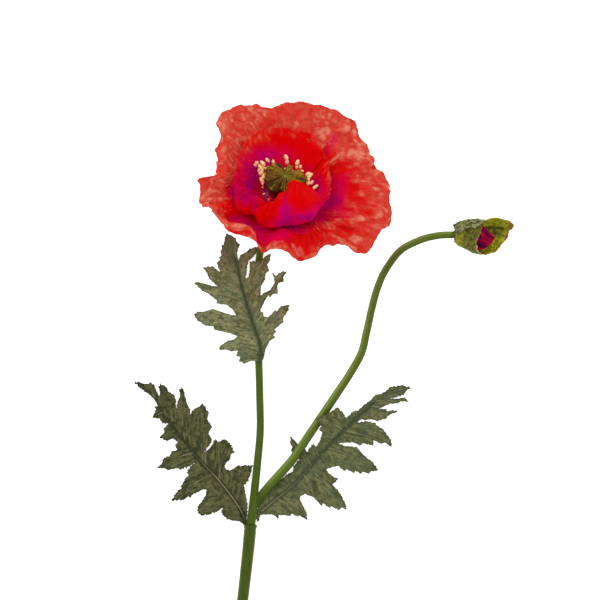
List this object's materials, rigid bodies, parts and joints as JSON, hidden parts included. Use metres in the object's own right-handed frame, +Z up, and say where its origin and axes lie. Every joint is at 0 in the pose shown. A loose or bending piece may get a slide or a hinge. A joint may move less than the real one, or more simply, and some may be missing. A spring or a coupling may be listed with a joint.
{
  "type": "poppy flower",
  "caption": "Cut poppy lying on its side: an open double red flower, a side bud showing crimson on a curved stalk, lobed toothed leaves and a thick round stem.",
  "frame": {"origin": "centre of the footprint, on the surface the poppy lies on", "axes": "+Y from the cut end of the stem towards the flower, +X towards the side bud, +Z up from the table"},
  "size_m": [0.2355, 0.3997, 0.0999],
  "materials": {
    "outer_petals": "matt crumpled, salmon at the rim and crimson at the foot",
    "inner_petals": "matt, saturated red running to purple at the foot",
    "bud_petals": "matt crumpled crimson",
    "stem": "semi-matt bright green",
    "leaf": "matt grey-olive green with paler veins",
    "leaf_rib": "matt dark green to tan",
    "stigma": "velvety olive green",
    "anthers": "matt cream, some tinged pink",
    "sepals": "rough olive green"
  },
  "bodies": {
    "root": {"main_stem": "stem", "flower_stalk": "stem", "bud_stalk": "stem", "receptacle": "stem", "leaf_left_blade": "leaf", "leaf_left_midrib": "leaf_rib", "leaf_right_blade": "leaf", "leaf_right_midrib": "leaf_rib", "leaf_upper_blade": "leaf", "leaf_upper_midrib": "leaf_rib", "outer_petal_top_right": "outer_petals", "outer_petal_top_left": "outer_petals", "outer_petal_left": "outer_petals", "outer_petal_front": "outer_petals", "outer_petal_right": "outer_petals", "inner_petal_back": "inner_petals", "inner_petal_left": "inner_petals", "inner_petal_front_left": "inner_petals", "inner_petal_front": "inner_petals", "inner_petal_right": "inner_petals", "seed_capsule": "stigma", "stigma_disc": "stigma", "stamen_01": "anthers", "stamen_02": "anthers", "stamen_03": "anthers", "stamen_04": "anthers", "stamen_05": "anthers", "stamen_06": "anthers", "stamen_07": "anthers", "stamen_08": "anthers", "stamen_09": "anthers", "stamen_10": "anthers", "stamen_11": "anthers", "stamen_12": "anthers", "stamen_13": "anthers", "stamen_14": "anthers", "stamen_15": "anthers", "stamen_16": "anthers", "stamen_17": "anthers", "stamen_18": "anthers", "stamen_19": "anthers", "stamen_20": "anthers", "stamen_21": "anthers", "stamen_22": "anthers", "stamen_23": "anthers", "stamen_24": "anthers", "bud_sepal_front": "sepals", "bud_sepal_top": "sepals", "bud_sepal_back": "sepals", "bud_receptacle": "sepals", "bud_petals": "bud_petals"}
  },
  "joints": []
}
